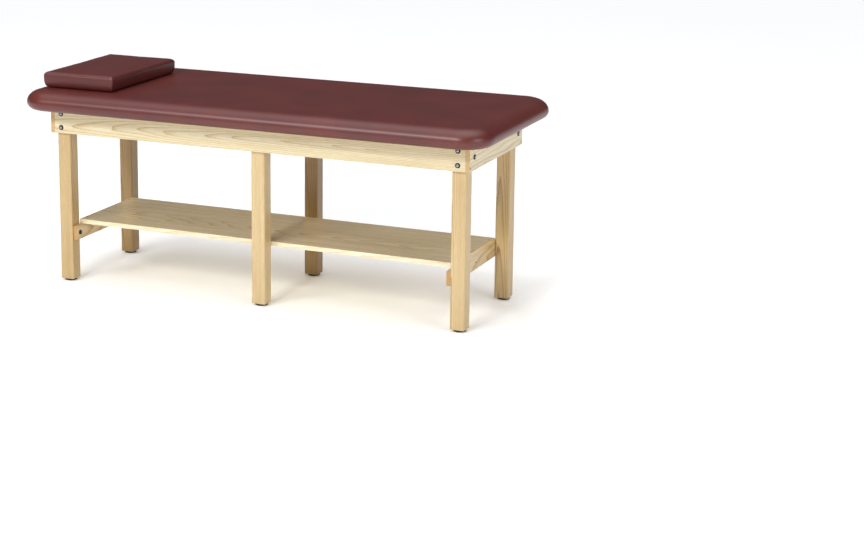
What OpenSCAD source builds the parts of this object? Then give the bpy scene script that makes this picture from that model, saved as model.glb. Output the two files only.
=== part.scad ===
// Medical exam table: a six-legged timber frame with an open shelf below,
// an upholstered top with a bullnose edge, and a loose head pillow.
// X runs from the head end to the foot end, Y from front to rear, Z up.
// The origin is on the floor below the centre of the frame.

/* [Frame] */
// Length of the frame over its end aprons
frame_l = 1760; // [1500:5:2000]
// Width of the frame over its long aprons
frame_w = 568; // [500:2:700]
// Height of the whole table without the pillow
table_h = 787; // [700:1:900]
// Height of the aprons
apron_h = 102; // [90:1:130]
// Thickness of the apron boards
apron_t = 18; // [15:0.5:24]
// Radius of the eased edges of the apron boards
apron_ease = 2.5; // [1:0.5:4]

/* [Legs] */
// Side of the square legs
leg_w = 57; // [48:1:70]
// Radius of the upright edges of the legs
leg_round = 5; // [2:0.5:8]
// Chamfer round the foot of each leg
leg_chamfer = 3; // [1:0.5:5]
// Offset of the middle pair of legs towards the foot end
middle_leg_x = 22; // [-40:1:40]

/* [Glides] */
// Diameter of the round glides
glide_d = 48; // [36:1:54]
// Thickness of the glides
glide_t = 8; // [5:0.5:12]
// Radius of the lower edge of the glides
glide_ease = 3; // [1:0.5:4]

/* [Shelf] */
// Height of the upper face of the shelf
shelf_z = 246; // [180:1:320]
// Thickness of the shelf panel
shelf_t = 18; // [15:0.5:24]
// Height of the rails that carry the shelf
shelf_rail_h = 57; // [40:1:70]
// Thickness of the rails that carry the shelf
shelf_rail_t = 19; // [15:0.5:24]
// Length by which a rail's ends stay behind the outer faces of the legs
shelf_rail_setback = 8; // [2:1:20]

/* [Top] */
// Distance by which the top stands out past the frame at each end
end_overhang = 90; // [66:1:130]
// Distance by which the top stands out past the frame at each long side
side_overhang = 121; // [66:1:140]
// Thickness of the upholstered top
top_t = 78; // [60:1:100]
// Corner radius of the top in plan
top_corner = 115; // [90:1:140]
// Depth of the bullnose below, from the top's edge to its flat underside
bullnose = 36; // [28:1:40]
// Depth of the bullnose above, where the top rolls over to its edge
top_roll = 62; // [40:1:75]
// Height of the crown in the middle of the top
top_crown = 3; // [1:0.5:6]
// Thickness of the board inside the top
board_t = 18; // [12:1:22]
// Thickness of the vinyl covers
vinyl_t = 1.2; // [0.8:0.1:2]
// Width of the vinyl that is turned under the board
turn_under = 24; // [15:1:30]

/* [Pillow] */
// Length of the pillow along the table
pillow_l = 306; // [250:2:360]
// Width of the pillow across the table
pillow_w = 500; // [400:2:560]
// Height of the pillow at its edges
pillow_h = 58; // [45:1:80]
// Crown of the pillow's upper face
pillow_crown = 5; // [2:0.5:12]
// Radius of the pillow's long soft edges
pillow_edge = 14; // [10:1:20]
// Corner radius of the pillow in plan
pillow_corner = 9; // [6:1:20]
// Depth by which the pillow's sides are drawn in below
pillow_draw = 5; // [2:0.5:8]
// Distance of the pillow's centre from the head end of the top
pillow_from_end = 220; // [200:5:400]
// Place of the pillow's centre across the table
pillow_y = -37; // [-100:1:100]

/* [Bolts] */
// Diameter of the apron bolts
bolt_d = 8; // [6:0.5:10]
// Diameter of the domed bolt heads
bolt_head_d = 10.5; // [9.5:0.5:14]
// Height of the domed bolt heads
bolt_head_h = 4; // [3:0.5:6]
// Diameter of the cup washers
cup_d = 20; // [16:0.5:24]
// Height of the cup washers
cup_h = 3.5; // [2:0.5:5]
// Height of the lower bolts above the aprons' lower edges
bolt_low = 23; // [18:1:30]
// Height of the upper bolts above the aprons' lower edges
bolt_high = 77; // [65:1:85]
// Width of the nuts across flats
nut_w = 13; // [11:0.5:17]
// Height of the nuts
nut_h = 6.5; // [5:0.5:8]
// Diameter of the flat washers under the nuts
washer_d = 20; // [17:0.5:24]
// Thickness of the flat washers under the nuts
washer_t = 1.6; // [1:0.2:2.4]

/* [Screws] */
// Diameter of the wood screws
screw_d = 4; // [3:0.5:5]
// Diameter of the screw heads
screw_head_d = 8; // [7:0.5:10]
// Depth of the screw heads in their counterbores
screw_head_t = 2.5; // [2:0.5:4]
// Height of the apron corner screws above the aprons' lower edges
corner_screw_z = 13; // [9:1:20]

/* [Brackets] */
// Length of each flange of the brackets under the top
bracket_l = 32; // [26:1:40]
// Width of the brackets
bracket_w = 24; // [20:1:32]
// Thickness of the brackets
bracket_t = 2.5; // [2:0.5:4]

/* [Hidden] */
$fn = 48;

// Clearance round every shank in its hole, and between soft parts
shank_gap = 0.2;
soft_gap = 0.3;
// Overrun of cutting shapes
cut = 1;

board_z = table_h - top_t;
apron_z = board_z - apron_h;
half_l = frame_l / 2;
half_w = frame_w / 2;
top_l = frame_l + 2 * end_overhang;
top_w = frame_w + 2 * side_overhang;
pillow_x = pillow_from_end - top_l / 2;
// Centres of the corner legs
leg_x = half_l - apron_t - leg_w / 2;
leg_y = half_w - apron_t - leg_w / 2;
leg_xs = [-leg_x, middle_leg_x, leg_x];
// Half size of the shelf, which fits between the legs
shelf_half_l = leg_x - leg_w / 2;
shelf_half_w = leg_y - leg_w / 2;
shelf_under = shelf_z - shelf_t;
rail_z = shelf_under - shelf_rail_h;
rail_half_y = leg_y + leg_w / 2 - shelf_rail_setback;
rail_mid_z = rail_z + shelf_rail_h / 2;
shelf_screw_y = shelf_half_w * 0.8;
// Long screws reach this far into the second piece
screw_bite = 26;
// Lengths of the screws
corner_screw_l = apron_t + screw_bite;
middle_screw_l = leg_w + apron_t * 0.7;
shelf_screw_l = shelf_t + screw_bite;
bracket_screw_l = 12;
centre_screw_l = shelf_rail_t * 0.8;
glide_recess = 2;
glide_screw_l = glide_t + screw_bite - glide_recess;
lag_l = shelf_rail_t + leg_w * 0.7;
middle_screw_x = leg_w * 0.36;
bracket_x = leg_x * 0.55;
// Rail under the top between the middle legs, and its dowels
cross_h = 70;
cross_t = 30;
dowel_d = 8;
dowel_l = 50;
// Shank of the lag screws
lag_d = 6;
// Middle height of the aprons, where the end bolts run
bolt_mid = (bolt_low + bolt_high) / 2;
bolt_len = apron_t + leg_w + washer_t + nut_h + 3;
// Board inside the top
board_inset = bullnose + soft_gap;
board_l = top_l - 2 * board_inset;
board_w = top_w - 2 * board_inset;
board_corner = top_corner - board_inset;
pillow_z = table_h + soft_gap;
// Seams of the pillow, where its panels meet its boxing
seam_low = pillow_z + pillow_edge * 0.6;
seam_high = pillow_z + pillow_h - pillow_edge * 0.6;

wood_pale = "#e3d5b3";
wood_gold = "#d2b888";
wood_shelf = "#cfbf96";
vinyl = "#5e2f30";

// ---------- helper shapes ----------

// Rectangle a by b with corners rounded to r, centred
module round_rect(a, b, r) {
    square([a - 2 * r, b], center = true);
    square([a, b - 2 * r], center = true);
    for (x = [-1, 1], y = [-1, 1])
        translate([x * (a / 2 - r), y * (b / 2 - r)]) circle(r = r);
}

// Board that runs along X, centred on X and Y, with its lower edge at z = 0
module board_x(length, thick, height, ease) {
    translate([-length / 2, 0, height / 2])
        rotate([90, 0, 90])
            linear_extrude(length) round_rect(thick, height, ease);
}

// Hole or shank along X, Y or Z from the origin in the given direction
module rod(d, length, turn = [0, 0, 0]) {
    rotate(turn) cylinder(d = d, h = length);
}

// Countersunk place for one screw whose head lies level with z = 0, driven down
module screw_cut(length) {
    translate([0, 0, -length])
        cylinder(d = screw_d + 2 * shank_gap, h = length + cut);
    translate([0, 0, -screw_head_t])
        cylinder(d = screw_head_d + 2 * shank_gap, h = screw_head_t + cut);
}

// One wood screw, head level with z = 0, driven down, with a recess in its head
module screw(length) {
    difference() {
        rotate_extrude()
            polygon([
                [0, -length], [screw_d / 4, -length + screw_d / 2], [screw_d / 2, -length + 2 * screw_d],
                [screw_d / 2, -screw_head_t], [screw_head_d / 2, -screw_head_t],
                [screw_head_d / 2, -0.6], [screw_head_d / 2 - 0.6, 0], [0, 0]
            ]);
        for (a = [0, 90])
            rotate(a) translate([-screw_head_d / 4, -0.5, -1.2]) cube([screw_head_d / 2, 1, 3]);
    }
}

// ---------- fastener places ----------

// Puts its children on each long-apron bolt, z pointing out of the frame
module at_side_bolts(side) {
    for (x = [-leg_x, leg_x], z = [bolt_low, bolt_high])
        translate([x, side * half_w, apron_z + z]) rotate([-side * 90, 0, 0]) children();
}

// Puts its children on each end-apron bolt, z pointing out of the frame
module at_end_bolts(end) {
    for (y = [-leg_y, leg_y])
        translate([end * half_l, y, apron_z + bolt_mid]) rotate([0, end * 90, 0]) children();
}

module at_all_bolts() {
    for (s = [-1, 1]) {
        at_side_bolts(s) children();
        at_end_bolts(s) children();
    }
}

// Corner screws, through an end apron into the end of a long apron
module at_corner_screws(end) {
    for (s = [-1, 1])
        translate([end * half_l, s * (half_w - apron_t / 2), apron_z + corner_screw_z])
            rotate([0, end * 90, 0]) children();
}

// Screws from a middle leg outwards into its long apron, beside the cross rail
module at_middle_screws(side) {
    for (x = [-1, 1], z = [bolt_low, bolt_high])
        translate([middle_leg_x + x * middle_screw_x, side * shelf_half_w, apron_z + z])
            rotate([side * 90, 0, 0]) children();
}

// Dowels between the middle legs and the ends of the cross rail
module at_dowels() {
    for (s = [-1, 1], x = [-1, 1])
        translate([middle_leg_x + x * cross_t / 4, s * shelf_half_w, board_z - cross_h / 2])
            rotate([90, 0, 0]) children();
}

// Lag screws that hold a shelf rail to its two legs, heads on the rail's inner face
module at_rail_lags(end) {
    for (s = [-1, 1])
        translate([end * (shelf_half_l - shelf_rail_t), s * leg_y, rail_mid_z])
            rotate([0, -end * 90, 0]) children();
}

// Short screw in the middle of a shelf rail's outer face
module at_rail_centre(end) {
    translate([end * shelf_half_l, 0, rail_mid_z]) rotate([0, end * 90, 0]) children();
}

// Screws through the shelf into its rails
module at_shelf_screws(end) {
    for (s = [-1, 0, 1])
        translate([end * (shelf_half_l - shelf_rail_t / 2), s * shelf_screw_y, shelf_z]) children();
}

// Screws up through the glides, heads sunk so that they clear the floor
module at_glide_screws() {
    for (x = leg_xs, s = [-1, 1])
        translate([x, s * leg_y, glide_recess]) rotate([180, 0, 0]) children();
}

// Places of the angle brackets under the top, each with its upright flange's
// face at x = 0 and its flat flange's face at z = 0, opening towards +X
module at_top_brackets() {
    for (x = [-1, 1], s = [-1, 1])
        translate([x * bracket_x, s * (half_w - apron_t), board_z]) rotate(-s * 90) children();
    for (e = [-1, 1])
        translate([e * (half_l - apron_t), 0, board_z]) rotate(e > 0 ? 180 : 0) children();
}

// Places of the brackets between the middle legs and the underside of the shelf
module at_shelf_brackets() {
    for (s = [-1, 1])
        translate([middle_leg_x, s * shelf_half_w, shelf_under]) rotate(-s * 90) children();
}

// Screws of one bracket, through its upright flange and up through its flat flange
module at_bracket_screws() {
    translate([bracket_t, 0, -bracket_l * 0.62]) rotate([0, 90, 0]) children();
    translate([bracket_l * 0.62, 0, -bracket_t]) rotate([180, 0, 0]) children();
}

// ---------- frame ----------

module long_apron(side) {
    color(wood_pale)
    difference() {
        translate([0, side * (half_w - apron_t / 2), apron_z])
            board_x(frame_l - 2 * apron_t, apron_t, apron_h, apron_ease);
        at_side_bolts(side)
            translate([0, 0, -apron_t - cut]) rod(bolt_d + 2 * shank_gap, apron_t + 2 * cut);
        for (e = [-1, 1])
            at_corner_screws(e) screw_cut(corner_screw_l);
        at_middle_screws(side) screw_cut(middle_screw_l);
        at_top_brackets() at_bracket_screws() screw_cut(bracket_screw_l);
    }
}

module end_apron(end) {
    color(wood_pale)
    difference() {
        translate([end * (half_l - apron_t / 2), 0, apron_z])
            rotate(90) board_x(frame_w, apron_t, apron_h, apron_ease);
        at_end_bolts(end)
            translate([0, 0, -apron_t - cut]) rod(bolt_d + 2 * shank_gap, apron_t + 2 * cut);
        at_corner_screws(end) screw_cut(corner_screw_l);
        at_top_brackets() at_bracket_screws() screw_cut(bracket_screw_l);
    }
}

module front_apron() { long_apron(-1); }
module rear_apron() { long_apron(1); }
module head_apron() { end_apron(-1); }
module foot_apron() { end_apron(1); }

// Side view of a leg, with its chamfered foot, as long as the leg is tall
module leg_profile() {
    h = board_z - glide_t;
    polygon([
        [-leg_w / 2 + leg_chamfer, 0], [leg_w / 2 - leg_chamfer, 0], [leg_w / 2, leg_chamfer],
        [leg_w / 2, h], [-leg_w / 2, h], [-leg_w / 2, leg_chamfer]
    ]);
}

// One leg at column i (0 head, 1 middle, 2 foot) and side -1 front or 1 rear
module leg(i, side) {
    color(wood_gold)
    difference() {
        translate([leg_xs[i], side * leg_y, glide_t])
            intersection() {
                linear_extrude(board_z - glide_t) round_rect(leg_w, leg_w, leg_round);
                rotate([90, 0, 0]) translate([0, 0, -leg_w]) linear_extrude(2 * leg_w) leg_profile();
                rotate([90, 0, 90]) translate([0, 0, -leg_w]) linear_extrude(2 * leg_w) leg_profile();
            }
        if (i != 1) {
            at_side_bolts(side)
                translate([0, 0, -apron_t - leg_w - cut]) rod(bolt_d + 2 * shank_gap, leg_w + 2 * cut);
            at_end_bolts(i - 1)
                translate([0, 0, -apron_t - leg_w - cut]) rod(bolt_d + 2 * shank_gap, leg_w + 2 * cut);
            at_rail_lags(i - 1) translate([0, 0, -lag_l]) rod(lag_d + 2 * shank_gap, lag_l + cut);
        }
        if (i == 1) {
            at_middle_screws(side) screw_cut(middle_screw_l);
            at_dowels() dowel_cut();
            at_shelf_brackets() at_bracket_screws() screw_cut(bracket_screw_l);
        }
        at_glide_screws() screw_cut(glide_screw_l);
    }
}

module leg_front_head() { leg(0, -1); }
module leg_front_middle() { leg(1, -1); }
module leg_front_foot() { leg(2, -1); }
module leg_rear_head() { leg(0, 1); }
module leg_rear_middle() { leg(1, 1); }
module leg_rear_foot() { leg(2, 1); }

// Rail under the top, between the middle legs
module centre_cross_rail() {
    color(wood_pale)
    difference() {
        translate([middle_leg_x, 0, board_z - cross_h]) rotate(90)
            board_x(2 * shelf_half_w, cross_t, cross_h, apron_ease);
        at_dowels() dowel_cut();
    }
}

module dowel_cut() {
    cylinder(d = dowel_d + 2 * shank_gap, h = dowel_l + 2, center = true);
}

module cross_rail_dowels() {
    color(wood_gold)
    at_dowels() rotate_extrude()
        polygon([
            [0, -dowel_l / 2], [dowel_d / 2 - 1, -dowel_l / 2], [dowel_d / 2, 1 - dowel_l / 2],
            [dowel_d / 2, dowel_l / 2 - 1], [dowel_d / 2 - 1, dowel_l / 2], [0, dowel_l / 2]
        ]);
}

// ---------- shelf ----------

module shelf_panel() {
    color(wood_shelf)
    difference() {
        translate([0, 0, shelf_under])
            board_x(2 * shelf_half_l, 2 * shelf_half_w, shelf_t, 1);
        for (e = [-1, 1])
            at_shelf_screws(e) screw_cut(shelf_screw_l);
        at_shelf_brackets() at_bracket_screws() screw_cut(bracket_screw_l);
    }
}

module shelf_rail(end) {
    color(wood_gold)
    difference() {
        translate([end * (shelf_half_l - shelf_rail_t / 2), 0, rail_z])
            rotate(90) board_x(2 * rail_half_y, shelf_rail_t, shelf_rail_h, apron_ease);
        at_rail_lags(end) translate([0, 0, -lag_l]) rod(lag_d + 2 * shank_gap, lag_l + cut);
        at_rail_centre(end) screw_cut(centre_screw_l);
        at_shelf_screws(end) screw_cut(shelf_screw_l);
    }
}

module shelf_rail_head() { shelf_rail(-1); }
module shelf_rail_foot() { shelf_rail(1); }

// ---------- top ----------

module top_board() {
    color("#b99a6b")
    difference() {
        translate([0, 0, board_z])
            linear_extrude(board_t) round_rect(board_l, board_w, board_corner);
        at_top_brackets() at_bracket_screws() screw_cut(bracket_screw_l);
    }
}

// Points per corner of a cushion's outline
corner_steps = 7;

// Outline of a cushion, length a by width b with corner radius r, at height z
function outline(a, b, r, z) = [
    for (c = [0 : 3], k = [0 : corner_steps])
        let (
            turn = 90 * (c + k / corner_steps),
            sx = (c == 0 || c == 3) ? 1 : -1,
            sy = (c < 2) ? 1 : -1
        )
        [sx * (a / 2 - r) + r * cos(turn), sy * (b / 2 - r) + r * sin(turn), z]
];

// Closed solid through a list of outlines, from the lowest to the highest
module loft(rings) {
    n = len(rings[0]);
    last = len(rings) - 1;
    points = concat([for (ring = rings) each ring], [[0, 0, rings[0][0].z], [0, 0, rings[last][0].z]]);
    low = n * len(rings);
    high = low + 1;
    faces = concat(
        [for (i = [0 : last - 1], k = [0 : n - 1])
            each [[i * n + k, (i + 1) * n + k, i * n + (k + 1) % n],
                  [i * n + (k + 1) % n, (i + 1) * n + k, (i + 1) * n + (k + 1) % n]]],
        [for (k = [0 : n - 1]) [low, k, (k + 1) % n]],
        [for (k = [0 : n - 1]) [high, last * n + (k + 1) % n, last * n + k]]
    );
    polyhedron(points, faces);
}

// Steps up each half of the bullnose, and over the crown
edge_steps = 5;
crown_steps = 4;
// How far in from the edge the crown has risen
crown_reach = 170;
// Share of the top's height at which it is widest
widest = 0.4;

// Bullnose top with everything drawn in by skin: a tight turn below its widest
// line and a long roll above it
module top_form(skin) {
    low = board_z - vinyl_t + skin;
    high = table_h - top_crown - skin;
    rise = high - low;
    function at(d, z) = outline(top_l - 2 * d, top_w - 2 * d, max(top_corner - d, 20), z);
    below = [
        for (i = [0 : edge_steps - 1])
            let (t = -90 + 90 * i / edge_steps)
            at(skin + (bullnose - skin) * (1 - cos(t)), low + rise * widest * (1 + sin(t)))
    ];
    above = [
        for (i = [0 : edge_steps])
            let (t = 90 * i / edge_steps)
            at(skin + (top_roll - skin) * (1 - cos(t)), low + rise * (widest + (1 - widest) * sin(t)))
    ];
    crown = [
        for (i = [1 : crown_steps])
            let (s = i / crown_steps)
            at(top_roll + (crown_reach - top_roll) * s, high + top_crown * sin(90 * s))
    ];
    loft(concat(below, above, crown));
}

module foam_pad() {
    color("#e8dfb8")
    difference() {
        top_form(vinyl_t);
        translate([0, 0, board_z - cut])
            linear_extrude(board_t + cut) round_rect(board_l, board_w, board_corner);
    }
}

// Vinyl skin over the foam, turned under the board
module top_cover() {
    color(vinyl)
    difference() {
        top_form(0);
        top_form(vinyl_t);
        under = bullnose + turn_under;
        translate([0, 0, board_z - vinyl_t - cut])
            linear_extrude(vinyl_t + 2 * cut)
                round_rect(top_l - 2 * under, top_w - 2 * under, top_corner - under / 2);
    }
}

// ---------- pillow ----------

// Box cushion with soft edges, drawn in below, everything drawn in by skin
module pillow_form(skin) {
    low = pillow_z + skin;
    high = pillow_z + pillow_h - skin;
    soft = pillow_edge - skin;
    function size(d) = skin + d;
    // Inset of the side at a share s of the height: drawn in below, full in the middle
    function side(s) = pillow_draw * pow(1 - s, 2);
    lower = [
        for (i = [0 : 4])
            let (t = 90 * i / 4)
            [soft * (1 - sin(t)) * 0.7 + side(0), low + soft * (1 - cos(t))]
    ];
    middle = [
        for (s = [0.3, 0.5, 0.7])
            [side(s), low + (high - low) * s]
    ];
    upper = [
        for (i = [0 : 4])
            let (t = 90 * i / 4)
            [soft * (1 - cos(t)), high - soft * (1 - sin(t))]
    ];
    crown = [
        for (s = [0.25, 0.5, 0.75, 0.95])
            [soft + (pillow_l / 2 - soft) * s, high + pillow_crown * sin(90 * s)]
    ];
    translate([pillow_x, pillow_y, 0])
        loft([
            for (p = concat(lower, middle, upper, crown))
                let (d = size(p[0]), r = max(3, pillow_corner - p[0] / 2 - skin))
                outline(pillow_l - 2 * d, pillow_w - 2 * d, min(r, pillow_l / 2 - d - 1), p[1])
        ]);
}

// The pillow's skin between two heights
module pillow_skin(low, high) {
    color(vinyl)
    intersection() {
        difference() {
            pillow_form(0);
            pillow_form(vinyl_t);
        }
        translate([pillow_x - pillow_l, pillow_y - pillow_w, low])
            cube([2 * pillow_l, 2 * pillow_w, high - low]);
    }
}

module pillow_foam() {
    color("#e8dfb8") pillow_form(vinyl_t);
}

module pillow_bottom_panel() { pillow_skin(pillow_z - cut, seam_low); }
module pillow_boxing() { pillow_skin(seam_low, seam_high); }
module pillow_top_panel() { pillow_skin(seam_high, seam_high + pillow_h); }

// ---------- bolts and screws ----------

// Dome-headed bolt seated on its cup washer, shank down from z = 0
module bolt() {
    rotate_extrude()
        polygon(concat(
            [[0, cup_h / 2], [0, -bolt_len], [bolt_d / 2 - 1, -bolt_len], [bolt_d / 2, 1 - bolt_len],
             [bolt_d / 2, cup_h / 2]],
            [for (t = [0 : 15 : 90])
                [bolt_head_d / 2 * cos(t), cup_h / 2 + 1 + (bolt_head_h - 1) * sin(t)]]
        ));
    translate([0, 0, cup_h / 2]) cylinder(d = bolt_head_d, h = 1);
}

module apron_bolts() {
    color("silver")
    at_all_bolts() bolt();
}

// Cup washer, a dished ring on the apron's face
module cup() {
    hole = bolt_d / 2 + shank_gap;
    rotate_extrude()
        polygon([
            [hole, 0], [cup_d / 2, 0], [cup_d / 2 - 0.5, cup_h * 0.45], [cup_d / 2 - 2, cup_h],
            [bolt_head_d / 2 + 0.6, cup_h], [bolt_head_d / 2 + 0.4, cup_h / 2], [hole, cup_h / 2]
        ]);
}

module cup_washers() {
    color("#202222") {
        at_all_bolts() cup();
        for (e = [-1, 1])
            at_rail_lags(e) cup();
    }
}

// Inner end of a bolt, where its flat washer lies on the leg
module at_bolt_ends() {
    at_all_bolts() translate([0, 0, -apron_t - leg_w]) rotate([180, 0, 0]) children();
}

module flat_washers() {
    color("silver")
    at_bolt_ends() difference() {
        cylinder(d = washer_d, h = washer_t);
        translate([0, 0, -cut]) cylinder(d = bolt_d + 2 * shank_gap, h = washer_t + 2 * cut);
    }
}

module bolt_nuts() {
    color("silver")
    at_bolt_ends() translate([0, 0, washer_t]) difference() {
        cylinder(d = nut_w / cos(30), h = nut_h, $fn = 6);
        translate([0, 0, -cut]) cylinder(d = bolt_d, h = nut_h + 2 * cut);
    }
}

// Lag screws with the same domed heads, on the shelf rails' inner faces
module rail_lags() {
    color("silver")
    for (e = [-1, 1])
        at_rail_lags(e) {
            rotate_extrude()
                polygon(concat(
                    [[0, -lag_l + 1], [lag_d / 4, -lag_l + 1], [lag_d / 2, -lag_l + 2 * lag_d],
                     [lag_d / 2, cup_h / 2], [bolt_head_d / 2, cup_h / 2]],
                    [for (t = [0 : 15 : 90])
                        [bolt_head_d / 2 * cos(t), cup_h / 2 + 1 + (bolt_head_h - 1) * sin(t)]]
                ));
        }
}

module apron_corner_screws() {
    color("#3a3a3a")
    for (e = [-1, 1])
        at_corner_screws(e) screw(corner_screw_l);
}

module middle_leg_screws() {
    color("#3a3a3a")
    for (s = [-1, 1])
        at_middle_screws(s) screw(middle_screw_l);
}

module shelf_screws() {
    color("#3a3a3a")
    for (e = [-1, 1]) {
        at_shelf_screws(e) screw(shelf_screw_l);
        at_rail_centre(e) screw(centre_screw_l);
    }
}

// Angle bracket with two flanges and a screw hole in each
module bracket() {
    difference() {
        union() {
            translate([0, -bracket_w / 2, -bracket_l]) cube([bracket_t, bracket_w, bracket_l]);
            translate([0, -bracket_w / 2, -bracket_t]) cube([bracket_l, bracket_w, bracket_t]);
        }
        at_bracket_screws() translate([0, 0, -bracket_l / 2])
            cylinder(d = screw_d + 2 * shank_gap, h = bracket_l);
    }
}

module top_brackets() {
    color("silver")
    at_top_brackets() bracket();
}

module shelf_brackets() {
    color("silver")
    at_shelf_brackets() bracket();
}

// Round-headed screw for a bracket, seated on its flange at z = 0
module bracket_screw() {
    rotate_extrude()
        polygon(concat(
            [[0, -bracket_screw_l], [screw_d / 2, -bracket_screw_l + screw_d], [screw_d / 2, 0]],
            [for (t = [0 : 18 : 90]) [screw_head_d / 2 * cos(t), screw_head_t * sin(t)]]
        ));
}

module bracket_screws() {
    color("silver") {
        at_top_brackets() at_bracket_screws() bracket_screw();
        at_shelf_brackets() at_bracket_screws() bracket_screw();
    }
}

// ---------- glides ----------

module glides() {
    color("#1c1c1c")
    for (x = leg_xs, s = [-1, 1])
        translate([x, s * leg_y, 0]) difference() {
            rotate_extrude()
                polygon(concat(
                    [[0, 0]],
                    [for (t = [-90 : 15 : 0])
                        [glide_d / 2 - glide_ease + glide_ease * cos(t), glide_ease + glide_ease * sin(t)]],
                    [[glide_d / 2, glide_t], [0, glide_t]]
                ));
            translate([0, 0, -cut]) cylinder(d = screw_head_d + 2 * shank_gap, h = glide_recess + screw_head_t + cut);
            cylinder(d = screw_d + 2 * shank_gap, h = glide_t + cut);
        }
}

module glide_screws() {
    color("silver")
    at_glide_screws() screw(glide_screw_l);
}

front_apron();
rear_apron();
head_apron();
foot_apron();
leg_front_head();
leg_front_middle();
leg_front_foot();
leg_rear_head();
leg_rear_middle();
leg_rear_foot();
centre_cross_rail();
cross_rail_dowels();
shelf_panel();
shelf_rail_head();
shelf_rail_foot();
top_board();
foam_pad();
top_cover();
pillow_foam();
pillow_top_panel();
pillow_boxing();
pillow_bottom_panel();
apron_bolts();
cup_washers();
flat_washers();
bolt_nuts();
rail_lags();
apron_corner_screws();
middle_leg_screws();
shelf_screws();
top_brackets();
shelf_brackets();
bracket_screws();
glides();
glide_screws();
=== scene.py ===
"""Medical exam table: looks of the timber frame, the vinyl top and the loose pillow."""

import math

import bmesh
import bpy
from mathutils import Matrix, Vector, noise


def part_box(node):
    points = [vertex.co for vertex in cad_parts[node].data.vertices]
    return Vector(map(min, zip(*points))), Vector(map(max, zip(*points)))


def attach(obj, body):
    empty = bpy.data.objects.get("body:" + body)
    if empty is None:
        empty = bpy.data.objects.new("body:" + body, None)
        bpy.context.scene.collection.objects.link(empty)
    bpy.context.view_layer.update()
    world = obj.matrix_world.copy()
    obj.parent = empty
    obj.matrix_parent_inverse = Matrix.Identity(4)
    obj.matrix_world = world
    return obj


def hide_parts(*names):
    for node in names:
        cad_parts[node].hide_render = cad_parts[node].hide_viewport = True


bl_info = {
    "name": "Medical Exam Table",
    "version": (1, 0, 0),
    "blender": (4, 5, 0),
    "location": "View3D > Sidebar > Exam Table",
    "description": "Dresses a six-legged timber exam table with a padded vinyl top and a pillow",
    "category": "Object",
}

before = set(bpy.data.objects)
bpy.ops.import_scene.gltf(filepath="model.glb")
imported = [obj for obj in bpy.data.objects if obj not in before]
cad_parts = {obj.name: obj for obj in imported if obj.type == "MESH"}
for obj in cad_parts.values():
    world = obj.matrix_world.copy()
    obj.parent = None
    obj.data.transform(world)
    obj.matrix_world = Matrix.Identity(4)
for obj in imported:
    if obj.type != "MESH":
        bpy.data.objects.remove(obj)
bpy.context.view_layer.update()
MM = 0.001

# Boxes of the pieces that the soft goods are built round
TOP_LOW, TOP_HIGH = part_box("top_cover")
TOP_CENTRE = (TOP_LOW + TOP_HIGH) / 2
TOP_HALF = (TOP_HIGH - TOP_LOW) / 2
BOARD_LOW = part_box("top_board")[0]
CUSHION_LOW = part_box("pillow_bottom_panel")[0]
CUSHION_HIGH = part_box("pillow_top_panel")[1]
CUSHION_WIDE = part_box("pillow_boxing")

LEGS = ("leg_front_head", "leg_front_middle", "leg_front_foot",
        "leg_rear_head", "leg_rear_middle", "leg_rear_foot")
# Share of golden heartwood in each post, no two alike; the rear posts get the most, which also
# paints in the shade they stand in
LEG_GOLD_AND_SHADE_SHARES = (0.3, 0.0, 0.12, 0.8, 1.0, 0.35)

# Middle tones between a timber's pale wood and its ring lines, and the darkest post's lines, which
# also carry the rear posts' painted shade
APRON_MID = "#d0c198"
LEG_MID = "#c4a878"
GOLD_AND_SHADE_MID = "#98773f"
GOLD_AND_SHADE_DARK = "#7c5c2c"
# Sawn ends drink more lacquer and come out darker
END_GRAIN = "#e8d0ae"

# Spacing of a ring wave's rings at a scale of 1, and how many ring widths the rings wander
WAVE_SPACING = 0.314
RING_WANDER = 3.2
# The vinyl's pebbles are drawn this wide so that they still show
PEBBLE = 1.1 * MM

# Points on each arc and side of the outlines
TOP_COUNTS = {"arc": 16, "x": 44, "y": 14}
STAPLE_COUNTS = {"arc": 10, "x": 30, "y": 12}
PILLOW_COUNTS = {"arc": 4, "x": 40, "y": 66}

# The top's padding sits a little toward the foot end of its board
PAD_SHIFT = Vector((6 * MM, 0, 0))
# Its hem: insets past the bullnose, height of its edge inside the board, smallest corner
HEM_EDGE = 0.024
HEM_MIDDLE = 0.012
HEM_RISE = 0.006
HEM_CORNER = 0.02
LOWER_STEPS = 12
UPPER_STEPS = 14
# Its face: how far in from the sides the crown is full, and shallow hollows where it is sat on
TOP_CROWN_REACH = 0.108
HOLLOW_DEPTH = 0.5 * MM
HOLLOWS_PER_METRE = 4
HOLLOW_SLICE = 3
# Pleats under its corners: waves in each radian and depth at the hem
PLEAT_WAVES = 26
PLEAT_DEPTH = 0.9 * MM

# Staples: the line they stand on, past the bullnose and under the cover, and their wire
STAPLE_INSET = 0.014
STAPLE_GAP = 0.0003
STAPLE_SIZES = (("Pitch", 0.035), ("Crown Width", 0.010), ("Wire", 0.0006))
WIRE_SIDES = 6

# Pillow: how far its cover stands out past the panels, its edges and its crown
PILLOW_SPREAD = Vector((6, 6, 0)) * MM
PILLOW_EDGE = 0.014
PILLOW_CORNER = 0.004
PILLOW_CROWN = 0.005
PILLOW_CROWN_REACH = 0.12
EDGE_STEPS = 5
# Inset and height of the outlines of its sides, drawn in below
PILLOW_SIDES = ((0.017, 0), (0.009, 0.0015), (0.005, 0.006), (0.0025, 0.013), (0.001, 0.021),
                (0.0005, 0.029))
PUFF_FRAMES = 20
PUFF_PRESSURE = 4.0
PUFF_TENSION = 40
# Seams down its corners: how far they are looked for, their width and depth
SEAM_REACH = 0.03
SEAM_WIDTH = 0.003
SEAM_DEPTH = 0.0016
# It rests a hair above the pad and rises at most this far past its panels
REST_GAP = 0.3 * MM
RISE_LIMIT = 6 * MM

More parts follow.
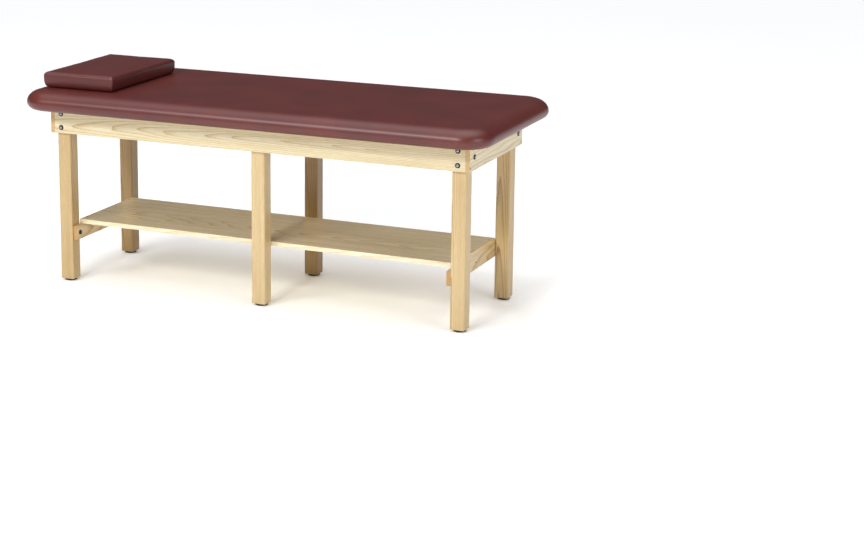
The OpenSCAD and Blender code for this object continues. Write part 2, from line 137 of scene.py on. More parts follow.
FLOOR_REACH = 30
# Name, place, point aimed at, width and height in metres, and power in watts
LAMPS = (
    ("key", (-0.2, -6.8, 3.9), (0, 0, 0.4), (0.9, 0.9), 110),
    ("strip", (-2.0, -6.0, 4.6), (0, -0.4, 0.7), (4.6, 0.8), 290),
    ("side", (5.5, -2.2, 2.2), (0.4, 0, 0.5), (2.5, 1.6), 90),
)
# Lens and place of the camera, from the object's own vanishing lines: pixels, metres and
# radians of yaw, pitch and roll
PICTURE = (864, 540)
LENS_AXIS = (290.0, 150.0)
FOCAL_PIXELS = 1992.7
SENSOR_MM = 36.0
CAMERA_PLACE = (3.313, -6.843, 2.149)
CAMERA_TURN = (0.4473, -0.2061, -0.0016)

# A mix that multiplies colours, and the numbers of its sockets: share, colours and result
MULTIPLY = {"data_type": "RGBA", "blend_type": "MULTIPLY"}
SHARE, FIRST, SECOND, MIXED = 0, 6, 7, 2


# ---------- helpers ----------

def linear(hex_colour, alpha=1.0):
    """Linear colour of an sRGB hex value."""
    parts = [int(hex_colour[i:i + 2], 16) / 255 for i in (1, 3, 5)]
    low = [c / 12.92 if c <= 0.04045 else ((c + 0.055) / 1.055) ** 2.4 for c in parts]
    return (*low, alpha)


def blend(first, second, share):
    """Hex colour part of the way from one to another."""
    pairs = ((int(first[i:i + 2], 16), int(second[i:i + 2], 16)) for i in (1, 3, 5))
    return "#" + "".join(f"{round(a + (b - a) * share):02x}" for a, b in pairs)


def set_inputs(node, values):
    """Sets socket values of a node."""
    for key, value in values.items():
        node.inputs[key].default_value = value


def add_node(tree, kind, settings=None, inputs=None, links=None, stops=()):
    """Adds a node, sets its properties, socket values and colour stops of (position, hex
    colour), and links other sockets to it."""
    node = tree.nodes.new(kind)
    for key, value in (settings or {}).items():
        setattr(node, key, value)
    set_inputs(node, inputs or {})
    for key, source in (links or {}).items():
        tree.links.new(source, node.inputs[key])
    for i, (place, colour) in enumerate(stops):
        elements = node.color_ramp.elements
        element = elements[i] if i < len(elements) else elements.new(place)
        element.position = place
        element.color = linear(colour)
    return node


def new_material(name):
    """An empty material with its shader and output, ready for nodes."""
    material = bpy.data.materials.new(name)
    material.use_nodes = True
    tree = material.node_tree
    tree.nodes.clear()
    shader = add_node(tree, "ShaderNodeBsdfPrincipled")
    output = add_node(tree, "ShaderNodeOutputMaterial")
    tree.links.new(shader.outputs["BSDF"], output.inputs["Surface"])
    return material, tree, shader


def dress(nodes, material):
    """Gives CAD nodes one material in every slot."""
    for name in nodes:
        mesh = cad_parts[name].data
        if not mesh.materials:
            mesh.materials.append(material)
        for i in range(len(mesh.materials)):
            mesh.materials[i] = material


def new_object(name, bm, material):
    """Object from a bmesh, smooth shaded, with its place in its mesh."""
    mesh = bpy.data.meshes.new(name)
    bm.to_mesh(mesh)
    bm.free()
    piece = bpy.data.objects.new(name, mesh)
    bpy.context.scene.collection.objects.link(piece)
    mesh.materials.append(material)
    for polygon in mesh.polygons:
        polygon.use_smooth = True
    return piece


def make_plain(piece):
    """Replaces a piece's mesh by its evaluated one and clears its modifiers."""
    depsgraph = bpy.context.evaluated_depsgraph_get()
    mesh = bpy.data.meshes.new_from_object(piece.evaluated_get(depsgraph))
    piece.modifiers.clear()
    piece.data = mesh
    for polygon in mesh.polygons:
        polygon.use_smooth = True


def refine(piece):
    """Subdivides a piece's surface once."""
    finer = piece.modifiers.new("finer", "SUBSURF")
    finer.levels = finer.render_levels = 1


# ---------- materials ----------

def lacquered_timber(name, along, pale, mid, dark, heart, tilt, ring_mm, seed, gloss=0.42):
    """Flat-sawn softwood or ash under satin lacquer: growth rings cut at a slant give arches
    on the wide faces, and fine fibres run along the grain."""
    material, tree, shader = new_material(name)
    place = add_node(tree, "ShaderNodeTexCoord").outputs["Object"]
    turn = {"X": (0, 0, 0), "Y": (0, 0, math.pi / 2), "Z": (0, math.pi / 2, 0)}[along]
    grain = add_node(tree, "ShaderNodeMapping", inputs={"Rotation": turn},
                     links={"Vector": place}).outputs["Vector"]
    tone = add_node(tree, "ShaderNodeValToRGB", stops=[
        (0.0, pale), (0.55, pale), (0.86, mid), (0.96, dark), (1.0, pale)], links={
        "Fac": growth_rings(tree, grain, heart, tilt, ring_mm, seed)})
    # Fibres 0.5 mm wide and some 30 mm long
    fine = add_node(tree, "ShaderNodeMapping", inputs={"Scale": (35, 1900, 1900)},
                    links={"Vector": grain})
    fibre = add_node(tree, "ShaderNodeTexNoise", inputs={
        "Scale": 1.0, "Detail": 3.0, "Roughness": 0.6}, links={"Vector": fine.outputs["Vector"]})
    fibre_tone = add_node(tree, "ShaderNodeValToRGB", links={"Fac": fibre.outputs["Fac"]},
                          stops=[(0.32, "#d8c8a8"), (0.58, "#ffffff")])
    # Broad streaks 15 mm wide, lighter and darker
    broad = add_node(tree, "ShaderNodeMapping", inputs={
        "Location": (seed * 1.7, 0, 0), "Scale": (1.6, 60, 60)}, links={"Vector": grain})
    streak = add_node(tree, "ShaderNodeTexNoise", inputs={"Scale": 1.0, "Detail": 2.0},
                      links={"Vector": broad.outputs["Vector"]})
    streak_tone = add_node(tree, "ShaderNodeValToRGB", links={"Fac": streak.outputs["Fac"]},
                           stops=[(0.3, "#e4d8c0"), (0.7, "#ffffff")])
    streaked = add_node(tree, "ShaderNodeMix", MULTIPLY, {SHARE: 0.55}, {
        FIRST: tone.outputs["Color"], SECOND: streak_tone.outputs["Color"]})
    fibred = add_node(tree, "ShaderNodeMix", MULTIPLY, {SHARE: 0.6}, {
        FIRST: streaked.outputs[MIXED], SECOND: fibre_tone.outputs["Color"]})
    ended = add_node(tree, "ShaderNodeMix", MULTIPLY, {SECOND: linear(END_GRAIN)}, {
        SHARE: end_share(tree, along), FIRST: fibred.outputs[MIXED]})
    tree.links.new(ended.outputs[MIXED], shader.inputs["Base Color"])
    relief = add_node(tree, "ShaderNodeBump", inputs={"Strength": 0.12, "Distance": 0.2 * MM},
                      links={"Height": fibre.outputs["Fac"]})
    tree.links.new(relief.outputs["Normal"], shader.inputs["Normal"])
    set_inputs(shader, {"Roughness": gloss, "IOR": 1.5, "Coat Weight": 0.25,
                        "Coat Roughness": 0.25})
    return material


def growth_rings(tree, grain, heart, tilt, ring_mm, seed):
    """Saw-tooth rings round a heart that lies off the board and at a slight slant to it."""
    cut = add_node(tree, "ShaderNodeMapping", inputs={
        "Location": Vector(heart) * MM, "Rotation": tilt}, links={"Vector": grain})
    # Slow wander of the rings, long along the grain
    slow = add_node(tree, "ShaderNodeMapping", inputs={
        "Location": (seed, seed * 0.37, 0), "Scale": (2.2, 14, 14)}, links={"Vector": grain})
    wander = add_node(tree, "ShaderNodeTexNoise", inputs={
        "Scale": 1.0, "Detail": 2.0, "Roughness": 0.5}, links={"Vector": slow.outputs["Vector"]})
    middle = add_node(tree, "ShaderNodeVectorMath", {"operation": "SUBTRACT"},
                      {1: (0.5, 0.5, 0.5)}, {0: wander.outputs["Color"]})
    push = add_node(tree, "ShaderNodeVectorMath", {"operation": "SCALE"},
                    {"Scale": RING_WANDER * ring_mm * MM}, {0: middle.outputs["Vector"]})
    bent = add_node(tree, "ShaderNodeVectorMath", {"operation": "ADD"},
                    links={0: cut.outputs["Vector"], 1: push.outputs["Vector"]})
    rings = add_node(tree, "ShaderNodeTexWave", {
        "wave_type": "RINGS", "rings_direction": "X", "wave_profile": "SAW"}, {
        "Scale": WAVE_SPACING / (ring_mm * MM), "Distortion": 0.6, "Detail": 1.0,
        "Detail Scale": 3.0}, {"Vector": bent.outputs["Vector"]})
    return rings.outputs["Fac"]


def end_share(tree, along):
    """One on the sawn ends of a board, nothing on its long faces."""
    normal = add_node(tree, "ShaderNodeNewGeometry").outputs["Normal"]
    face = add_node(tree, "ShaderNodeSeparateXYZ", links={"Vector": normal})
    facing = add_node(tree, "ShaderNodeMath", {"operation": "ABSOLUTE"},
                      links={0: face.outputs[along]})
    share = add_node(tree, "ShaderNodeMapRange", inputs={"From Min": 0.7, "From Max": 0.95},
                     links={"Value": facing.outputs["Value"]})
    return share.outputs["Result"]


def upholstery_vinyl(name, base, deep):
    """Calendered PVC upholstery vinyl: an embossed leather grain of about 1 mm pebbles with
    painted shade in the creases between them, a soft satin sheen, and slow changes of tone where
    the foam presses it."""
    material, tree, shader = new_material(name)
    place = add_node(tree, "ShaderNodeTexCoord").outputs["Object"]
    pebbles = add_node(tree, "ShaderNodeTexVoronoi", {"feature": "SMOOTH_F1"}, {
        "Scale": 1 / PEBBLE, "Smoothness": 0.6}, {"Vector": place}).outputs["Distance"]
    # The creases between the pebbles are darkened: painted shade
    crease_shade_tone = add_node(tree, "ShaderNodeValToRGB", links={"Fac": pebbles},
                           stops=[(0.25, "#ffffff"), (0.75, "#9a8585")])
    cloud = add_node(tree, "ShaderNodeTexNoise", inputs={"Scale": 6.0, "Detail": 2.0},
                     links={"Vector": place})
    cloud_tone = add_node(tree, "ShaderNodeValToRGB", links={"Fac": cloud.outputs["Fac"]},
                          stops=[(0.3, deep), (0.7, base)])
    crease_shaded = add_node(tree, "ShaderNodeMix", MULTIPLY, {SHARE: 0.35}, {
        FIRST: cloud_tone.outputs["Color"], SECOND: crease_shade_tone.outputs["Color"]})
    tree.links.new(crease_shaded.outputs[MIXED], shader.inputs["Base Color"])
    relief = add_node(tree, "ShaderNodeBump", inputs={"Strength": 0.18, "Distance": 0.12 * MM},
                      links={"Height": pebbles})
    tree.links.new(relief.outputs["Normal"], shader.inputs["Normal"])
    set_inputs(shader, {"Roughness": 0.38, "IOR": 1.45, "Specular IOR Level": 0.6})
    return material


def plated_steel(name, colour, rough, metallic, grit_mm=0.4):
    """Plated or blacked steel: fine grit from tumbling breaks up its gloss."""
    material, tree, shader = new_material(name)
    place = add_node(tree, "ShaderNodeTexCoord").outputs["Object"]
    grit = add_node(tree, "ShaderNodeTexNoise", inputs={
        "Scale": 1 / (grit_mm * MM), "Detail": 2.0}, links={"Vector": place}).outputs["Fac"]
    grit_tone = add_node(tree, "ShaderNodeValToRGB", links={"Fac": grit},
                         stops=[(0.3, "#b0b0b0"), (0.7, "#ffffff")])
    shade = add_node(tree, "ShaderNodeMix", MULTIPLY, {SHARE: 0.3, FIRST: linear(colour)},
                     {SECOND: grit_tone.outputs["Color"]})
    tree.links.new(shade.outputs[MIXED], shader.inputs["Base Color"])
    gloss = add_node(tree, "ShaderNodeMapRange", inputs={
        "To Min": rough - 0.06, "To Max": rough + 0.06}, links={"Value": grit})
    tree.links.new(gloss.outputs["Result"], shader.inputs["Roughness"])
    shader.inputs["Metallic"].default_value = metallic
    return material


# ---------- cushion forms ----------

def steps(start, end, count):
    """Even values from start to end, both included."""
    return [start + (end - start) * i / count for i in range(count + 1)]


def skin_outlines(bm, outlines):
    """Joins outlines of equal length by quads, open at both ends."""
    rings = [[bm.verts.new(p) for p in points] for points in outlines]
    count = len(rings[0])
    for low, high in zip(rings, rings[1:]):
        for i in range(count):
            j = (i + 1) % count
            bm.faces.new((low[i], low[j], high[j], high[i]))
    return rings


def grid_cap(bm, ring, counts, up=True):
    """Closes an outline with a grid of quads and returns the grid's inner points."""
    turn = counts["arc"] // 2
    nx, ny = counts["x"] + counts["arc"], counts["y"] + counts["arc"]
    ring = ring[turn:] + ring[:turn + 1]
    back, left = ring[:nx + 1], ring[nx:nx + ny + 1]
    front, right = ring[nx + ny:2 * nx + ny + 1][::-1], ring[2 * nx + ny:][::-1]
    grid = [[None] * (ny + 1) for _ in range(nx + 1)]
    inner = []
    for i in range(nx + 1):
        for j in range(ny + 1):
            if i in (0, nx):
                grid[i][j] = (right if i == 0 else left)[j]
            elif j in (0, ny):
                grid[i][j] = (back if j == 0 else front)[i]
            else:
                u, v = i / nx, j / ny
                sides = back[i].co.lerp(front[i].co, v) + right[j].co.lerp(left[j].co, u)
                near = back[0].co.lerp(back[nx].co, u)
                corners = near.lerp(front[0].co.lerp(front[nx].co, u), v)
                grid[i][j] = bm.verts.new(sides - corners)
                inner.append(grid[i][j])
    for i in range(nx):
        for j in range(ny):
            quad = (grid[i][j], grid[i + 1][j], grid[i + 1][j + 1], grid[i][j + 1])
            bm.faces.new(quad if up else quad[::-1])
    return inner


def crown_share(point, centre, half_x, half_y, reach):
    """Share of the full crown at a point: none at the sides, full a reach away from them."""
    near_x = max(0, min(1, (half_x - abs(point.x - centre.x)) / reach))
    near_y = max(0, min(1, (half_y - abs(point.y - centre.y)) / reach))
    return math.sin(near_x * math.pi / 2) * math.sin(near_y * math.pi / 2)


def fixed_outline(half_x, half_y, radius, z, centre, counts):
    """Outline of a rounded rectangle, with set numbers of points on its arcs and sides."""
    arcs = []
    for corner in range(4):
        sx = 1 if corner in (0, 3) else -1
        sy = 1 if corner < 2 else -1
        middle = Vector((centre.x + sx * (half_x - radius), centre.y + sy * (half_y - radius), z))
        turn = steps(math.radians(90 * corner), math.radians(90 * corner + 90), counts["arc"])
        arcs.append([middle + radius * Vector((math.cos(a), math.sin(a), 0)) for a in turn])
    points = []
    for corner, arc in enumerate(arcs):
        start, end = arc[-1], arcs[(corner + 1) % 4][0]
        side = counts["x"] if corner in (0, 2) else counts["y"]
        points += arc + [start.lerp(end, i / side) for i in range(1, side)]
    return points


# ---------- settings ----------

class ExamTableVinyl(bpy.types.PropertyGroup):
    """Sizes and colours of the soft goods."""
    base: bpy.props.StringProperty(
        name="Vinyl colour", description="sRGB hex colour of the vinyl", default="#632822")
    deep: bpy.props.StringProperty(
        name="Deep tone", description="sRGB hex colour in the slow darker clouds",
        default="#572220")
    bullnose: bpy.props.FloatProperty(
        name="Bullnose", description="Depth of the rounded edge below its widest line",
        default=0.036, unit="LENGTH")
    roll: bpy.props.FloatProperty(
        name="Roll", description="Depth of the long roll above the widest line",
        default=0.062, unit="LENGTH")
    widest: bpy.props.FloatProperty(
        name="Widest", description="Share of the height at which the top is widest",
        default=0.4, subtype="FACTOR")
    corner: bpy.props.FloatProperty(
        name="Corner", description="Corner radius of the top in plan",
        default=0.115, unit="LENGTH")
    crown: bpy.props.FloatProperty(
        name="Crown", description="Rise in the middle of the top",
        default=0.003, unit="LENGTH")
    swell: bpy.props.FloatProperty(
        name="Pillow swell", description="How far the pillow's cover may puff out",
        default=0.003, unit="LENGTH")
    staple_pitch: bpy.props.FloatProperty(
        name="Staple pitch", description="Distance between the staples underneath",
        default=0.035, unit="LENGTH")


class ExamTableTimber(bpy.types.PropertyGroup):
    """Colours of the timber."""
    ash_pale: bpy.props.StringProperty(
        name="Apron timber", description="sRGB hex colour of the aprons' pale wood",
        default="#e0d6b8")
    ash_dark: bpy.props.StringProperty(
        name="Apron latewood", description="sRGB hex colour of the aprons' ring lines",
        default="#b39c6c")
    leg_pale: bpy.props.StringProperty(
        name="Leg timber", description="sRGB hex colour of the palest leg", default="#d8c398")
    # Heartwood colour the posts are blended toward; on the rear posts it is painted shade as well
    leg_gold_and_shade: bpy.props.StringProperty(
        name="Leg heartwood", description="sRGB hex colour of the darkest leg",
        default="#a98a54")
    leg_dark: bpy.props.StringProperty(
        name="Leg latewood", description="sRGB hex colour of the legs' ring lines",
        default="#a07c48")
    shelf_pale: bpy.props.StringProperty(
        name="Shelf face", description="sRGB hex colour of the shelf's maple face",
        default="#f2e8cc")
    shelf_dark: bpy.props.StringProperty(
        name="Shelf figure", description="sRGB hex colour of the shelf's figure",
        default="#dccba0")


# ---------- operators ----------

class EXAMTABLE_OT_timber(bpy.types.Operator):
    """Grain of the aprons, legs, rails, shelf and board"""
    bl_idname = "examtable.timber"
    bl_label = "Dress the timber"

    def execute(self, context):
        wood = context.scene.exam_table_timber
        # Each board is cut from its own place in the tree: heart offset in mm, slant in radians,
        # width of a ring in mm and seed
        boards = {
            "front_apron": ("X", (120, 262, -655), (0, 0.012, 0.035), 5.5, 1.0),
            "rear_apron": ("X", (300, -262, -648), (0, -0.01, 0.03), 5.5, 4.0),
            "head_apron": ("Y", (0, -820, -420), (0, 0.02, 0.01), 3.4, 7.0),
            "foot_apron": ("Y", (100, 820, -300), (0, 0.02, 0.01), 3.4, 9.0),
            "centre_cross_rail": ("Y", (0, 20, -690), (0, 0.02, 0.04), 5.0, 11.0),
        }
        for name, (along, *cut) in boards.items():
            dress([name], lacquered_timber(
                "ash_board_lacquered_" + name, along, wood.ash_pale, APRON_MID, wood.ash_dark,
                *cut))
        # Each post is blended toward the heartwood colours by its share: grain on every post, and
        # painted shade on the rear posts
        for i, (name, gold_and_shade) in enumerate(zip(LEGS, LEG_GOLD_AND_SHADE_SHARES)):
            low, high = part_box(name)
            # The heart lies beside the post, a little farther on from one post to the next
            middle = (low + high) / 2 / MM
            heart = (0, 30 + 9 * i - middle.y, middle.x - 38 + 6 * i)
            dress([name], lacquered_timber(
                "pine_post_lacquered_" + name, "Z", blend(wood.leg_pale, wood.leg_gold_and_shade, gold_and_shade),
                blend(LEG_MID, GOLD_AND_SHADE_MID, gold_and_shade), blend(wood.leg_dark, GOLD_AND_SHADE_DARK, gold_and_shade),
                heart, (0, 0.01 + 0.004 * i, 0.015), 4.5, 20.0 + i))
        for name, seed in (("shelf_rail_head", 31.0), ("shelf_rail_foot", 33.0)):
            dress([name], lacquered_timber(
                "pine_rail_lacquered_" + name, "Y", wood.leg_pale, LEG_MID, wood.leg_dark,
                (0, 40, -180), (0, 0.02, 0.03), 5, seed))
        dress(["cross_rail_dowels"], lacquered_timber(
            "beech_dowel_planed", "Y", "#d9b98a", "#cfae7c", "#bd9863",
            (0, 0, -600), (0, 0, 0), 3, 35.0))
        # Rotary-cut maple veneer: wide, faint figure, glossier lacquer
        dress(["shelf_panel"], lacquered_timber(
            "maple_plywood_lacquered", "X", wood.shelf_pale, "#e8dab4", wood.shelf_dark,
            (200, 40, -120), (0, 0.07, 0.02), 9, 41.0, gloss=0.24))
        dress(["top_board"], lacquered_timber(
            "softwood_plywood_raw", "X", "#c9aa74", "#bb9860", "#a37f49",
            (0, 60, -560), (0, 0.06, 0.03), 9, 45.0, gloss=0.7))
        return {"FINISHED"}


class EXAMTABLE_OT_hardware(bpy.types.Operator):
    """Bolts, washers, screws, brackets and glides"""
    bl_idname = "examtable.hardware"
    bl_label = "Dress the hardware"

    def execute(self, context):
        dress(["apron_bolts", "flat_washers", "bolt_nuts", "bracket_screws", "glide_screws"],
              plated_steel("zinc_plated_steel_tumbled", "#a9aeb3", 0.3, 1.0))
        dress(["top_brackets", "shelf_brackets"],
              plated_steel("zinc_plated_sheet_rolled", "#b9bcc0", 0.38, 1.0, 1.5))
        dress(["cup_washers", "rail_lags"],
              plated_steel("black_enamelled_steel", "#060606", 0.5, 0.0))
        dress(["apron_corner_screws", "middle_leg_screws", "shelf_screws"],
              plated_steel("black_phosphated_steel", "#2c2a29", 0.45, 0.6))
        dress(["glides"], plated_steel("black_polythene_moulded", "#191919", 0.5, 0.0, 0.8))
        return {"FINISHED"}


class EXAMTABLE_OT_top(bpy.types.Operator):
    """Padded vinyl top with its bullnose edge"""
    bl_idname = "examtable.top"
    bl_label = "Upholster the top"

    def execute(self, context):
        soft = context.scene.exam_table_vinyl
        vinyl = upholstery_vinyl("burgundy_vinyl_embossed", soft.base, soft.deep)
        centre, half = TOP_CENTRE + PAD_SHIFT, TOP_HALF
        low, high = TOP_LOW.z, TOP_HIGH.z - soft.crown

        def level(inset, z):
            radius = max(soft.corner - inset, HEM_CORNER)
            return fixed_outline(half.x - inset, half.y - inset, radius, z, centre, TOP_COUNTS)

        rise = high - low
        hem = [level(soft.bullnose + HEM_EDGE, BOARD_LOW.z + HEM_RISE),
               level(soft.bullnose + HEM_EDGE, low), level(soft.bullnose + HEM_MIDDLE, low)]
        below = [level(soft.bullnose * (1 - math.cos(t)),
                       low + rise * soft.widest * (1 + math.sin(t)))
                 for t in steps(-math.pi / 2, 0, LOWER_STEPS)[:-1]]
        above = [level(soft.roll * (1 - math.cos(t)),
                       low + rise * (soft.widest + (1 - soft.widest) * math.sin(t)))
                 for t in steps(0, math.pi / 2, UPPER_STEPS)]
        bm = bmesh.new()
        rings = skin_outlines(bm, hem + below + above)
        # The hem's edge is closed inside the board, where it leaves the underside free
        bm.faces.new(rings[0][::-1])
        for number, ring in enumerate(rings[len(hem):len(hem) + len(below)]):
            self.pleat(ring, centre, half, soft.corner, 1 - number / len(below))
        for vert in grid_cap(bm, rings[-1], TOP_COUNTS):
            share = crown_share(vert.co, centre, half.x - soft.roll, half.y - soft.roll,
                                TOP_CROWN_REACH)
            place = (vert.co.x * HOLLOWS_PER_METRE, vert.co.y * HOLLOWS_PER_METRE, HOLLOW_SLICE)
            vert.co.z += share * (soft.crown + HOLLOW_DEPTH * noise.noise(Vector(place)))
        piece = new_object("upholstered_top", bm, vinyl)
        refine(piece)
        make_plain(piece)
        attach(piece, "table")
        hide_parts("foam_pad", "top_cover")
        return {"FINISHED"}

    def pleat(self, ring, centre, half, corner, strength):
        """Draws the vinyl under each corner in small pleats, strongest at the hem."""
        for vert in ring:
            dx = abs(vert.co.x - centre.x) - (half.x - corner)
            dy = abs(vert.co.y - centre.y) - (half.y - corner)
            if dx <= 0 or dy <= 0:
                continue
            fold = math.cos(math.atan2(dy, dx) * PLEAT_WAVES) * PLEAT_DEPTH * strength ** 2
            away = Vector((dx, dy, 0)).normalized()
            vert.co.x += math.copysign(away.x, vert.co.x - centre.x) * fold
            vert.co.y += math.copysign(away.y, vert.co.y - centre.y) * fold


def staple_tree(material):
    """Geometry Nodes: a staple at even steps along a curve, turned with it."""
    tree = bpy.data.node_groups.new("Staples Along Edge", "GeometryNodeTree")
    face = tree.interface
    face.new_socket("Geometry", in_out="INPUT", socket_type="NodeSocketGeometry")
    sockets = {}
    for name, value in STAPLE_SIZES:
        socket = face.new_socket(name, in_out="INPUT", socket_type="NodeSocketFloat")
        socket.default_value = value
        sockets[name] = socket.identifier
    face.new_socket("Geometry", in_out="OUTPUT", socket_type="NodeSocketGeometry")
    start = add_node(tree, "NodeGroupInput").outputs
    curve = add_node(tree, "GeometryNodeMeshToCurve", links={"Mesh": start["Geometry"]})
    points = add_node(tree, "GeometryNodeCurveToPoints", {"mode": "LENGTH"}, links={
        "Curve": curve.outputs["Curve"], "Length": start["Pitch"]})
    wire = add_node(tree, "GeometryNodeCurvePrimitiveLine", {"mode": "DIRECTION"}, {
        "Direction": (0, 0, 1)}, {"Length": start["Crown Width"]})
    profile = add_node(tree, "GeometryNodeCurvePrimitiveCircle", inputs={
        "Resolution": WIRE_SIDES}, links={"Radius": start["Wire"]})
    staple = add_node(tree, "GeometryNodeCurveToMesh", inputs={"Fill Caps": True}, links={
        "Curve": wire.outputs["Curve"], "Profile Curve": profile.outputs["Curve"]})
    placed = add_node(tree, "GeometryNodeInstanceOnPoints", links={
        "Points": points.outputs["Points"], "Instance": staple.outputs["Mesh"],
        "Rotation": points.outputs["Rotation"]})
    real = add_node(tree, "GeometryNodeRealizeInstances", links={
        "Geometry": placed.outputs["Instances"]})
    done = add_node(tree, "GeometryNodeSetMaterial", inputs={"Material": material}, links={
        "Geometry": real.outputs["Geometry"]})
    add_node(tree, "NodeGroupOutput", links={"Geometry": done.outputs["Geometry"]})
    return tree, sockets


class EXAMTABLE_OT_staples(bpy.types.Operator):
    """Staples that hold the turned-under vinyl to the board"""
    bl_idname = "examtable.staples"
    bl_label = "Staple the vinyl"

    def execute(self, context):
        soft = context.scene.exam_table_vinyl
        steel = plated_steel("galvanised_staple_wire", "#b5b8bb", 0.35, 1.0)
        inset = soft.bullnose + STAPLE_INSET
        path = fixed_outline(TOP_HALF.x - inset, TOP_HALF.y - inset, soft.corner - inset,
                             TOP_LOW.z - STAPLE_GAP, TOP_CENTRE, STAPLE_COUNTS)
        edges = [(i, (i + 1) % len(path)) for i in range(len(path))]
        mesh = bpy.data.meshes.new("staple_path")
        mesh.from_pydata([tuple(p) for p in path], edges, [])
        piece = bpy.data.objects.new("hem_staples", mesh)
        context.scene.collection.objects.link(piece)
        tree, sockets = staple_tree(steel)
        modifier = piece.modifiers.new("staples", "NODES")
        modifier.node_group = tree
        modifier[sockets["Pitch"]] = soft.staple_pitch
        make_plain(piece)
        if not piece.data.polygons:
            raise RuntimeError("the staples came out empty")
        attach(piece, "table")
        return {"FINISHED"}


class EXAMTABLE_OT_pillow(bpy.types.Operator):
    """Loose box pillow, its cover puffed by a cloth simulation and seamed at its corners"""
    bl_idname = "examtable.pillow"
    bl_label = "Stuff the pillow"

    def execute(self, context):
        soft = context.scene.exam_table_vinyl
        vinyl = upholstery_vinyl("burgundy_vinyl_pillow", soft.base, soft.deep)
        low, high = CUSHION_LOW.z, CUSHION_HIGH.z
        centre = (CUSHION_WIDE[0] + CUSHION_WIDE[1]) / 2
        half = (CUSHION_WIDE[1] - CUSHION_WIDE[0]) / 2 + PILLOW_SPREAD
        rim = high - low - soft.swell
        # Full sides and a soft upper edge
        profile = [*PILLOW_SIDES, (0, rim - PILLOW_EDGE)]
        profile += [(PILLOW_EDGE * (1 - math.cos(t)), rim - PILLOW_EDGE * (1 - math.sin(t)))
                    for t in steps(0, math.pi / 2, EDGE_STEPS)[1:]]
        outlines = [fixed_outline(half.x - inset, half.y - inset, PILLOW_CORNER, low + height,
                                  centre, PILLOW_COUNTS) for inset, height in profile]
        bm = bmesh.new()
        rings = skin_outlines(bm, outlines)
        grid_cap(bm, rings[0], PILLOW_COUNTS, up=False)
        for vert in grid_cap(bm, rings[-1], PILLOW_COUNTS):
            vert.co.z += PILLOW_CROWN * crown_share(
                vert.co, centre, half.x - PILLOW_EDGE, half.y - PILLOW_EDGE, PILLOW_CROWN_REACH)
        piece = new_object("pillow_cushion", bm, vinyl)
        self.puff(context.scene, piece, soft.swell)
        self.seam(piece, centre, half)
        piece.modifiers.new("smooth", "SMOOTH").iterations = 1
        refine(piece)
        make_plain(piece)
        self.settle(piece, low, high)
        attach(piece, "pillow")
        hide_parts("pillow_foam", "pillow_top_panel", "pillow_boxing", "pillow_bottom_panel")
        return {"FINISHED"}

    def puff(self, scene, piece, swell):
        """Cloth with inner pressure, each point's travel capped at the swell."""
        before = [v.co.copy() for v in piece.data.vertices]
        cloth = piece.modifiers.new("puff", "CLOTH")
        cloth.settings.use_pressure = True
        cloth.settings.uniform_pressure_force = PUFF_PRESSURE
        cloth.settings.effector_weights.gravity = 0.0
        cloth.settings.tension_stiffness = PUFF_TENSION
        scene.frame_start, scene.frame_end = 1, PUFF_FRAMES
        for step in range(1, PUFF_FRAMES + 1):
            scene.frame_set(step)
        make_plain(piece)
        scene.frame_set(1)
        for vert, rest in zip(piece.data.vertices, before):
            move = vert.co - rest
            if move.length > swell:
                vert.co = rest + move.normalized() * swell

    def seam(self, piece, centre, half):
        """Sewn seams: a shallow groove down each corner."""
        for vert in piece.data.vertices:
            p = vert.co
            dx, dy = abs(p.x - centre.x), abs(p.y - centre.y)
            if dx < half.x - SEAM_REACH or dy < half.y - SEAM_REACH:
                continue
            off_diagonal = abs((half.x - dx) - (half.y - dy))
            groove = math.exp(-(off_diagonal / SEAM_WIDTH) ** 2) * SEAM_DEPTH
            inward = Vector((centre.x - p.x, centre.y - p.y, 0)).normalized()
            vert.co += inward * groove

    def settle(self, piece, low, high):
        """Keeps the pillow clear of the pad and its crown near the height of its panels."""
        for vert in piece.data.vertices:
            vert.co.z = min(max(vert.co.z, low + REST_GAP), high + RISE_LIMIT)


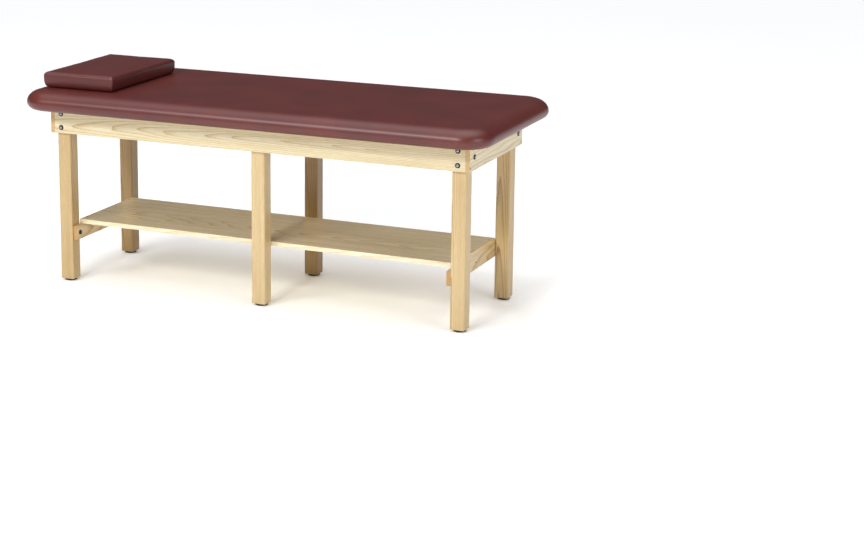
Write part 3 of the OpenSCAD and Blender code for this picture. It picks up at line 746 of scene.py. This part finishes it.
class EXAMTABLE_OT_stage(bpy.types.Operator):
    """Pale floor, soft studio light and the camera"""
    bl_idname = "examtable.stage"
    bl_label = "Set the stage"

    def execute(self, context):
        scene = context.scene
        self.floor()
        self.lights(scene)
        self.camera(scene)
        return {"FINISHED"}

    def floor(self):
        material, tree, shader = new_material("matt_white_studio_floor")
        place = add_node(tree, "ShaderNodeTexCoord").outputs["Object"]
        cloud = add_node(tree, "ShaderNodeTexNoise", inputs={"Scale": 0.7},
                         links={"Vector": place})
        tone = add_node(tree, "ShaderNodeValToRGB", links={"Fac": cloud.outputs["Fac"]},
                        stops=[(0.0, "#fafafa"), (1.0, "#fdfdfd")])
        tree.links.new(tone.outputs["Color"], shader.inputs["Base Color"])
        # The floor glows a little, which keeps it white far from the lamps
        set_inputs(shader, {"Roughness": 0.8, "Emission Color": (1.0, 1.0, 1.0, 1.0),
                            "Emission Strength": 0.12})
        bm = bmesh.new()
        bmesh.ops.create_grid(bm, x_segments=8, y_segments=8, size=FLOOR_REACH)
        floor = new_object("studio_floor", bm, material)

    def lights(self, scene):
        world = bpy.data.worlds.new("studio")
        scene.world = world
        world.use_nodes = True
        # A bright ceiling over dim walls, so that flat tops keep their colour at a low angle
        tree = world.node_tree
        sky = add_node(tree, "ShaderNodeTexCoord").outputs["Generated"]
        ray = add_node(tree, "ShaderNodeSeparateXYZ", links={"Vector": sky})
        strength = add_node(tree, "ShaderNodeMapRange", inputs={
            "From Min": 0.72, "From Max": 0.95, "To Min": 0.1, "To Max": 2.7}, links={
            "Value": ray.outputs["Z"]})
        background = tree.nodes["Background"]
        background.inputs["Color"].default_value = (0.98, 0.99, 1.0, 1.0)
        tree.links.new(strength.outputs["Result"], background.inputs["Strength"])
        for name, place, aim, size, power in LAMPS:
            light = bpy.data.lights.new(name, "AREA")
            light.energy = power
            light.shape = "RECTANGLE"
            light.size, light.size_y = size
            lamp = bpy.data.objects.new(name, light)
            lamp.location = place
            lamp.rotation_euler = (Vector(aim) - Vector(place)).to_track_quat("-Z", "Y").to_euler()
            scene.collection.objects.link(lamp)

    def camera(self, scene):
        (width, height), (axis_x, axis_y) = PICTURE, LENS_AXIS
        data = bpy.data.cameras.new("studio_camera")
        data.sensor_width = SENSOR_MM
        data.lens = FOCAL_PIXELS * SENSOR_MM / width
        data.shift_x = (width / 2 - axis_x) / width
        data.shift_y = (axis_y - height / 2) / width
        data.clip_end = 100
        camera = bpy.data.objects.new("studio_camera", data)
        camera.location = CAMERA_PLACE
        yaw, pitch, roll = CAMERA_TURN
        turn = Matrix.Rotation(yaw, 3, "Z") @ Matrix.Rotation(math.pi / 2 + pitch, 3, "X")
        camera.rotation_euler = (turn @ Matrix.Rotation(roll, 3, "Z")).to_euler()
        scene.collection.objects.link(camera)
        scene.camera = camera
        scene.view_settings.view_transform = "Standard"


class EXAMTABLE_PT_panel(bpy.types.Panel):
    """Lists the steps in the sidebar"""
    bl_idname = "EXAMTABLE_PT_panel"
    bl_label = "Exam Table"
    bl_space_type = "VIEW_3D"
    bl_region_type = "UI"
    bl_category = "Exam Table"

    def draw(self, context):
        column = self.layout.column()
        for group in (context.scene.exam_table_vinyl, context.scene.exam_table_timber):
            for name in group.bl_rna.properties.keys():
                if name not in ("rna_type", "name"):
                    column.prop(group, name)
        for operator in STEPS:
            column.operator(operator.bl_idname)


STEPS = (EXAMTABLE_OT_timber, EXAMTABLE_OT_hardware, EXAMTABLE_OT_top, EXAMTABLE_OT_staples,
         EXAMTABLE_OT_pillow, EXAMTABLE_OT_stage)
CLASSES = (ExamTableVinyl, ExamTableTimber, *STEPS, EXAMTABLE_PT_panel)


def register():
    for cls in CLASSES:
        bpy.utils.register_class(cls)
    bpy.types.Scene.exam_table_vinyl = bpy.props.PointerProperty(type=ExamTableVinyl)
    bpy.types.Scene.exam_table_timber = bpy.props.PointerProperty(type=ExamTableTimber)


def unregister():
    del bpy.types.Scene.exam_table_timber
    del bpy.types.Scene.exam_table_vinyl
    for cls in reversed(CLASSES):
        bpy.utils.unregister_class(cls)


def main():
    register()
    bpy.ops.examtable.timber()
    bpy.ops.examtable.hardware()
    bpy.ops.examtable.top()
    bpy.ops.examtable.staples()
    bpy.ops.examtable.pillow()
    bpy.ops.examtable.stage()


if __name__ == "__main__":
    main()
